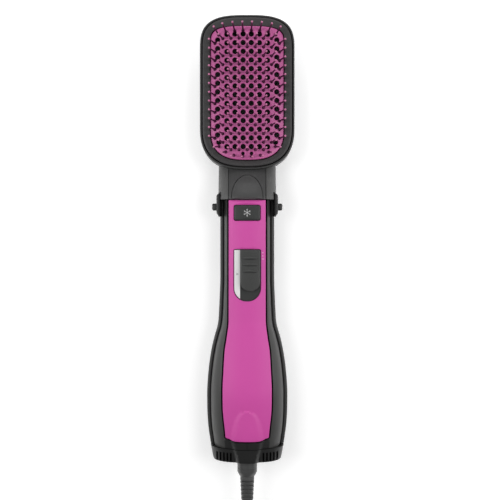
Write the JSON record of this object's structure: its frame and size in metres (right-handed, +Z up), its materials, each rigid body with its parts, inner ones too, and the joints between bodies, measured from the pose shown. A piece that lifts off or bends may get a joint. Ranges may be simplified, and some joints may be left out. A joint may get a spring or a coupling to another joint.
{
  "type": "hot air brush",
  "caption": "Hot air paddle brush: slim handle with switch, cool shot button and side release latches, vented bristle head and mains cord.",
  "frame": {"origin": "on the resting plane, under the middle of the brush measured without its cord", "axes": "+Y along the brush towards the head's tip, +Z up out of the bristle side, +X to the right seen from the bristle side"},
  "size_m": [0.1053, 0.5071, 0.0523],
  "materials": {
    "front_housing": "satin, fine moulded grain",
    "rear_housing": "satin, fine moulded grain",
    "pink_cover": "soft gloss",
    "black_trim": "satin",
    "control_grey": "satin",
    "indicator_white": "translucent white",
    "spring_steel": "plain",
    "circuit_board": "solder mask",
    "lead_wire": "insulated",
    "fan_plastic": "glass filled",
    "motor_steel": "plated",
    "mica": "pressed mica",
    "heater_wire": "oxidised",
    "head_grey": "satin, fine moulded grain",
    "neck_trim": "satin",
    "pad_pink": "satin",
    "bristle_plum": "nylon, pale ball tips",
    "cord_rubber": "satin",
    "cord_tie": "woven strap",
    "plug_blade": "nickel plated"
  },
  "bodies": {
    "handle": {"front_housing": "front_housing", "rear_housing": "rear_housing", "front_cover": "pink_cover", "inlet_cap": "black_trim", "outlet_spigot": "front_housing", "switch_tray": "control_grey", "indicator_strip": "indicator_white", "switch_body": "black_trim", "cool_spring": "spring_steel", "cool_switch": "black_trim", "circuit_board": "circuit_board", "lead_wires": "lead_wire", "motor_mount": "fan_plastic", "motor_can": "motor_steel", "heater_tube": "mica", "heater_boards": "mica", "heater_coil": "heater_wire", "thermostat": "motor_steel", "thermal_fuse": "motor_steel", "latch_spring_left": "spring_steel", "latch_spring_right": "spring_steel", "housing_screws": "spring_steel", "swivel_socket": "black_trim", "power_cord": "cord_rubber", "cord_coil": "cord_rubber", "cord_tail": "cord_rubber", "cord_tie": "cord_tie", "plug_body": "cord_rubber", "plug_blades": "plug_blade"},
    "fan": {"motor_shaft": "spring_steel", "impeller": "fan_plastic"},
    "slider": {"slider_knob": "control_grey"},
    "cool_shot": {"cool_button": "control_grey"},
    "release_left": {"latch_left": "black_trim"},
    "release_right": {"latch_right": "black_trim"},
    "brush_head": {"neck_sleeve": "head_grey", "neck_trim": "neck_trim", "head_rear_shell": "rear_housing", "head_frame": "head_grey", "head_screws": "spring_steel", "bristle_pad": "pad_pink", "bristle_edge_left": "bristle_plum", "bristle_edge_right": "bristle_plum", "bristle_arc_top": "bristle_plum", "bristle_arc_bottom": "bristle_plum", "bristle_row_01": "bristle_plum", "bristle_row_02": "bristle_plum", "bristle_row_03": "bristle_plum", "bristle_row_04": "bristle_plum", "bristle_row_05": "bristle_plum", "bristle_row_06": "bristle_plum", "bristle_row_07": "bristle_plum", "bristle_row_08": "bristle_plum", "bristle_row_09": "bristle_plum", "bristle_row_10": "bristle_plum", "bristle_row_11": "bristle_plum", "bristle_row_12": "bristle_plum", "bristle_row_13": "bristle_plum"},
    "swivel": {"swivel_collar": "black_trim", "strain_relief": "cord_rubber"}
  },
  "joints": [
    {"name": "fan_spin", "type": "hinge", "parent": "handle", "child": "fan", "pos_m": [0, -0.117, 0.0255], "axis": [0, 1, 0], "continuous": true},
    {"name": "switch_slide", "type": "slide", "parent": "handle", "child": "slider", "axis": [0, -1, 0], "range_m": [0, 0.006]},
    {"name": "cool_button_press", "type": "slide", "parent": "handle", "child": "cool_shot", "axis": [0, 0, -1], "range_m": [0, 0.0015], "stiffness_N_per_m": 800, "springref_m": -0.0005, "deforming": ["cool_spring"]},
    {"name": "release_left_press", "type": "slide", "parent": "handle", "child": "release_left", "axis": [1, 0, 0], "range_m": [0, 0.0012], "stiffness_N_per_m": 1500, "springref_m": -0.0005, "deforming": ["latch_spring_left"]},
    {"name": "release_right_press", "type": "slide", "parent": "handle", "child": "release_right", "axis": [-1, 0, 0], "range_m": [0, 0.0012], "stiffness_N_per_m": 1500, "springref_m": -0.0005, "deforming": ["latch_spring_right"]},
    {"name": "head_pull", "type": "slide", "parent": "handle", "child": "brush_head", "axis": [0, 1, 0], "range_m": [0, 0.035]},
    {"name": "cord_swivel", "type": "hinge", "parent": "handle", "child": "swivel", "pos_m": [0, -0.163, 0.03], "axis": [0, 1, 0], "continuous": true}
  ]
}
